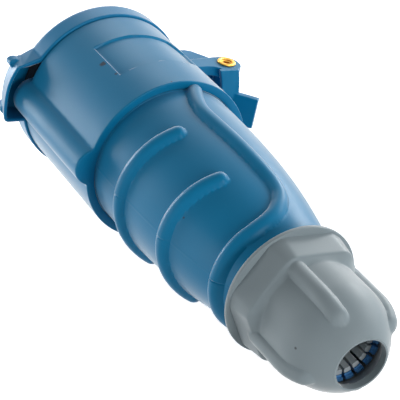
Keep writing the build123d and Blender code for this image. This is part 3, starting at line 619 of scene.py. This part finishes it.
# %% [markdown]
# The lid is a dome with a skirt, a hood over the key ridge and an arm to the hinge. Its CAD
# mesh is copied, the hood's one side is drawn in a little to where the photograph has it, and
# the copy is melted in the same way.

# %% Lid
lid_mesh = bmesh.new()
lid_mesh.from_mesh(frame["nodes"]["lid"].data)
to_own = own.inverted() @ frame["nodes"]["lid"].matrix_world
lid_r, drawn_from, drawn_by = 26.3, 4, 0.26
for corner in lid_mesh.verts:
    corner.co = to_own @ corner.co
    x, y, z = corner.co / MM
    beyond = np.clip((np.hypot(y, z) - lid_r) / 1.2, 0, 1)
    if z > 10 and y > drawn_from:
        corner.co.y = (y - drawn_by * (y - drawn_from) * beyond) * MM
bmesh.ops.remove_doubles(lid_mesh, verts=lid_mesh.verts, dist=1e-6)
melted("lid_moulding", "lid", lid_mesh, 0.3, 2, lid_polyamide_painted_light)

# %% [markdown]
# The hinge pin is a brass eyelet: a thin tube whose ends are rolled outwards over the cheeks.
# It is turned like the nut, about its own axis, from the profile of the rolled rim.

# %% Hinge eyelet
pin_place = own @ Matrix.Translation(Vector((pin_x, 0, pin_z)) * MM) @ Matrix.Rotation(pi / 2, 4, "Z")
tube_half, tube_in, tube_out, rim_half, rim_r, pin_columns = 12.9, 1.5, 2.0, 13.4, 2.25, 72
roll = np.radians(np.linspace(215, -60, 16))
rim = [(rim_half + 0.42 * sin(a), rim_r + 0.6 * cos(a)) for a in roll]
profile = [(tube_half, tube_in), (-tube_half, tube_in)] + [(-along, r) for along, r in rim]
profile += [(-tube_half, tube_out), (tube_half, tube_out)] + rim[::-1]
pin_turns = np.linspace(0, 2 * pi, pin_columns, endpoint=False)
pin_rows = np.array([[r] * pin_columns for _, r in profile])
pin_along = np.array([[along] for along, _ in profile])
ring_piece("hinge_eyelet", "hinge_rivet", pin_along, pin_rows, pin_turns, rolled_brass, pin_place)

# %% [markdown]
# The lid's spring is wound from round wire. A curve with a round bevel gives the true coil,
# with one straight leg against the lid and the other against the bracket.

# %% Lid spring
wire = bpy.data.curves.new("lid_spring_wire", "CURVE")
wire_r, coil_turns, coil_r, coil_pitch, leg_length = 0.35, 4.27, 2.75, 1.2, 9.3
wire.dimensions, wire.bevel_depth, wire.bevel_resolution = "3D", wire_r * MM, 4
coil = [(coil_r * cos(a), coil_pitch * (a / (2 * pi) - coil_turns / 2), -coil_r * sin(a))
        for a in np.linspace(0, 2 * pi * coil_turns, 120)]
last = 2 * pi * coil_turns
end_x, end_y, end_z = coil[-1]
leg = (end_x - leg_length * sin(last), end_y, end_z - leg_length * cos(last))
start_y = coil[0][1]
points = [(coil_r, start_y - 9.6, 0), (coil_r, start_y - 0.6, 0), *coil, leg]
line = wire.splines.new("POLY")
line.points.add(len(points) - 1)
for point, (x, y, z) in zip(line.points, points):
    point.co = ((pin_x + x) * MM, y * MM, (pin_z + z) * MM, 1)
wire.use_fill_caps = True
wire.transform(own)
spring = bpy.data.objects.new("lid_spring_wire", wire)
bpy.context.scene.collection.objects.link(spring)
show_for(spring, "lid_spring", spring_wire)
print("spring of", len(points), "points")

# %% [markdown]
# The light is a ring of large soft boxes. The two strongest stand behind, one on each side, and
# lay a pale band along each flank. Weaker ones at the sides and in front leave the middle deep,
# as in the photograph, and one looks into the cable hole. All are placed by the camera's own
# directions, and face the middle of the connector.

# %% Lamps
def soft_box(name, right, up, ahead, width, height, watts):
    """A soft box, placed from the connector's middle along the camera's directions, in mm."""
    lamp = bpy.data.objects.new(name, bpy.data.lights.new(name, "AREA"))
    lamp.data.shape, lamp.data.size, lamp.data.size_y = "RECTANGLE", width * MM, height * MM
    lamp.data.energy = watts
    bpy.context.scene.collection.objects.link(lamp)
    middle_of_all = (cad_low + cad_high) / 2
    lamp.location = middle_of_all + (look_right * right - look_down * up + look_ahead * ahead) * MM
    lamp.rotation_mode = "QUATERNION"
    lamp.rotation_quaternion = (middle_of_all - lamp.location).to_track_quat("-Z", "Y")


soft_box("right_box", 560, 300, 60, 200, 400, 1.7)
soft_box("right_back_box", 420, 520, 330, 300, 300, 3.5)
soft_box("top_back_box", 0, 640, 300, 400, 250, 0.9)
soft_box("left_back_box", -480, 200, 330, 300, 300, 3.6)
soft_box("left_box", -600, -60, -150, 200, 400, 1.0)
soft_box("left_front_box", -350, -250, -450, 300, 300, 0.3)
soft_box("gland_box", 380, -100, -480, 260, 260, 1.9)

# %% [markdown]
# The background is white because the floor and the world say so to the camera and to mirror
# rays, not because the object gets more light. The floor's own glow is a little under white, so
# that a faint shadow stays where the connector shades it.

# %% Floor and world
floor_reach, floor_glow, sky_diffuse, sky_white = 6.0, 0.75, 0.22, 1.0


def seen_as_background(material):
    """One for camera, glossy and transmission rays, and zero for the rest."""
    rays = add_node(material, "ShaderNodeLightPath", {})
    seen = rays.outputs["Is Camera Ray"]
    for kind in ("Is Glossy Ray", "Is Transmission Ray"):
        seen = add_node(material, "ShaderNodeMath", {0: seen, 1: rays.outputs[kind]},
                        operation="MAXIMUM").outputs["Value"]
    return seen


floor_mesh = bpy.data.meshes.new("floor")
ends = (-floor_reach, floor_reach)
floor_mesh.from_pydata([(x, y, 0) for x in ends for y in ends], [], [(0, 2, 3, 1)])
floor = bpy.data.objects.new("floor", floor_mesh)
bpy.context.scene.collection.objects.link(floor)
paper, paper_output = new_material("paper_sweep")
level = add_node(paper, "ShaderNodeMath", {0: seen_as_background(paper), 1: floor_glow},
                 operation="MULTIPLY")
glow = add_node(paper, "ShaderNodeEmission", {
    "Color": linear("#ffffff"), "Strength": level.outputs["Value"],
})
matt = add_node(paper, "ShaderNodeBsdfDiffuse", {"Color": linear("#f0f0f0")})
shared = add_node(paper, "ShaderNodeAddShader", {0: glow.outputs["Emission"], 1: matt.outputs["BSDF"]})
paper.node_tree.links.new(shared.outputs["Shader"], paper_output.inputs["Surface"])
floor_mesh.materials.append(paper)

world = bpy.data.worlds.new("studio")
bpy.context.scene.world = world
world.use_nodes = True
world.node_tree.nodes.clear()
sky_output = add_node(world, "ShaderNodeOutputWorld", {})
sky_level = add_node(world, "ShaderNodeMapRange", {
    "Value": seen_as_background(world), "To Min": sky_diffuse, "To Max": sky_white,
})
sky = add_node(world, "ShaderNodeBackground", {
    "Color": linear("#ffffff"), "Strength": sky_level.outputs["Result"],
})
world.node_tree.links.new(sky.outputs["Background"], sky_output.inputs["Surface"])
bpy.context.scene.view_settings.view_transform = "Standard"
print("floor and world ready")
